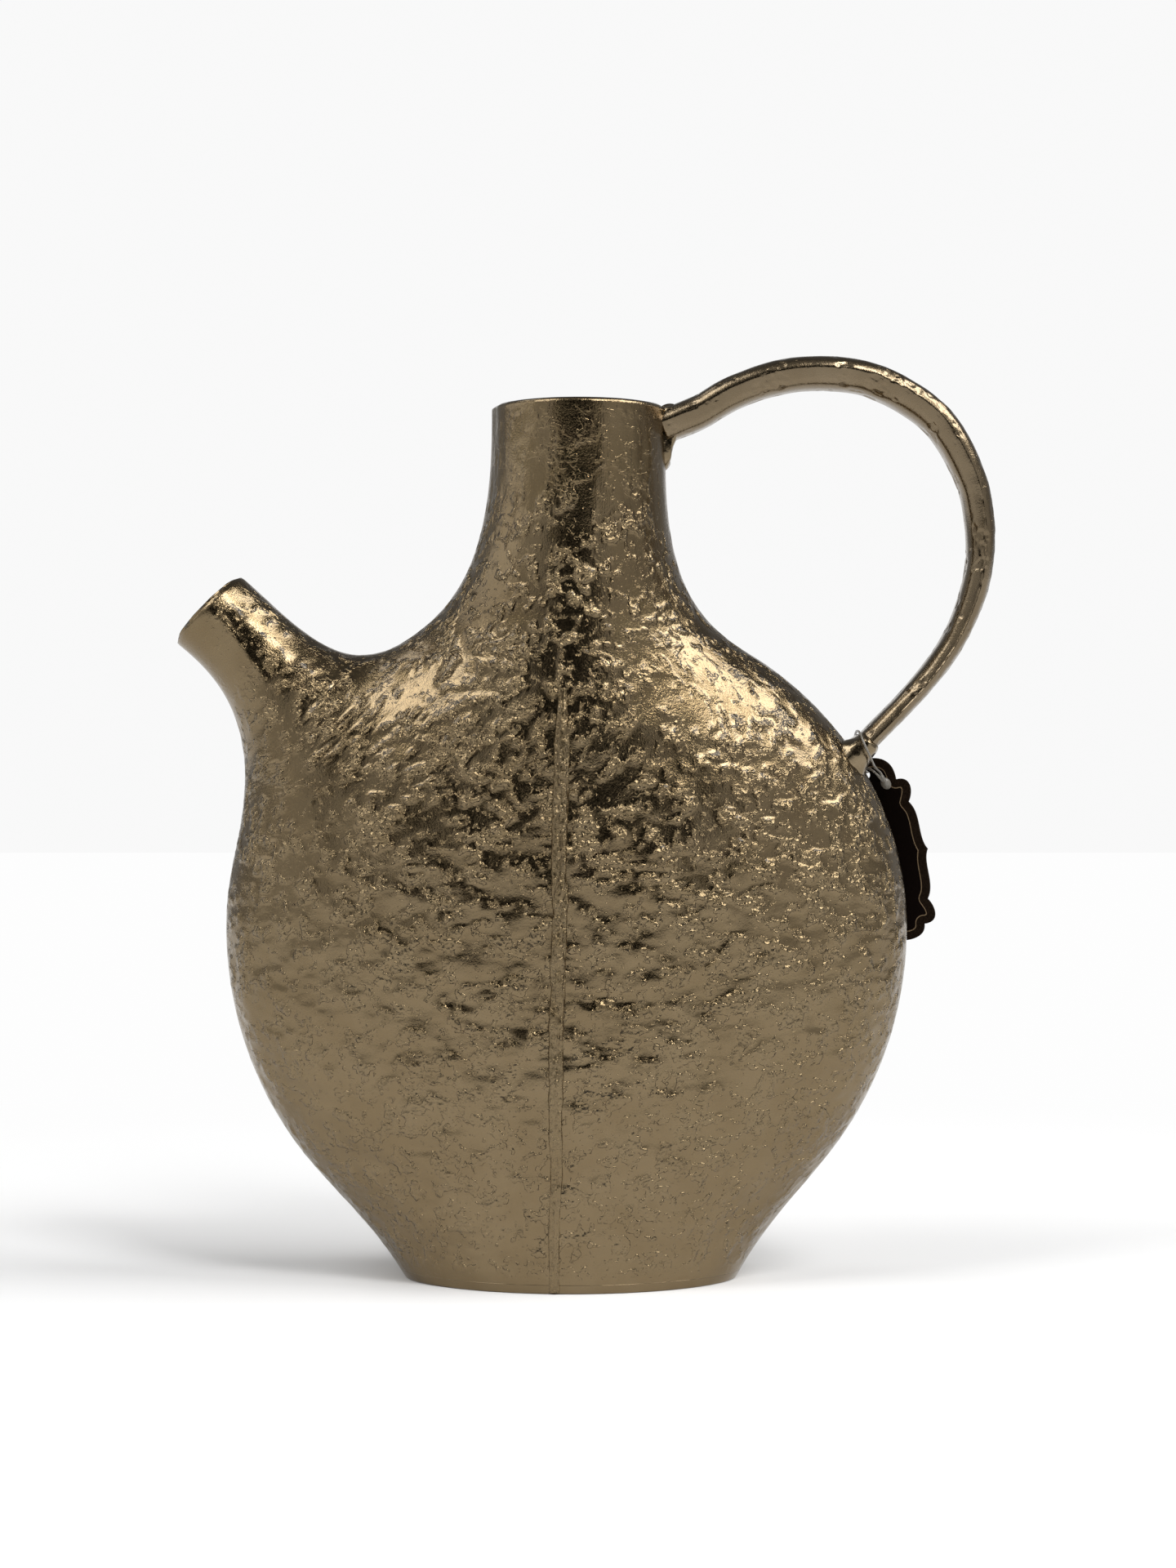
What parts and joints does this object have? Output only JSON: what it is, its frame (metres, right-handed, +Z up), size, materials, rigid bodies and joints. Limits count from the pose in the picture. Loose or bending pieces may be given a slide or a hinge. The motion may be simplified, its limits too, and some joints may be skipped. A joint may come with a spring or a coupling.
{
  "type": "metal jug",
  "caption": "Flattened cast-metal jug with an upright neck, short side spout, loop band handle, flat oval foot and a swing tag.",
  "frame": {"origin": "centre of the neck's side seam plane at the underside of the base plate, the face the jug stands on", "axes": "+Z up along the neck, the longest extent; +Y across the flat of the body, the shortest extent; the spout points to -X and the handle to +X"},
  "size_m": [0.2768, 0.0934, 0.3105],
  "materials": {
    "cast_metal": "rough cast, antique brass tone, buffed high spots",
    "plate_metal": "ground flat, antique brass tone",
    "band_metal": "cast band, lightly pitted, antique brass tone",
    "weld_metal": "dressed weld, brighter than the casting",
    "tag_board": "matt laminated card, near black, with a thin gold border line",
    "clear_plastic": "milky clear fastener thread"
  },
  "bodies": {
    "jug": {"front_shell": "cast_metal", "back_shell": "cast_metal", "base_plate": "plate_metal", "handle": "band_metal", "handle_boss": "cast_metal", "handle_gusset": "weld_metal", "rim_weld": "weld_metal", "tag_thread": "clear_plastic"},
    "tag": {"tag_card": "tag_board"}
  },
  "joints": [
    {"name": "tag_swing", "type": "hinge", "parent": "jug", "child": "tag", "pos_m": [0.10208, 0.01818, 0.1703], "axis": [-0.4423, -0.8871, -0.1323], "range_deg": [-35, 35]}
  ]
}
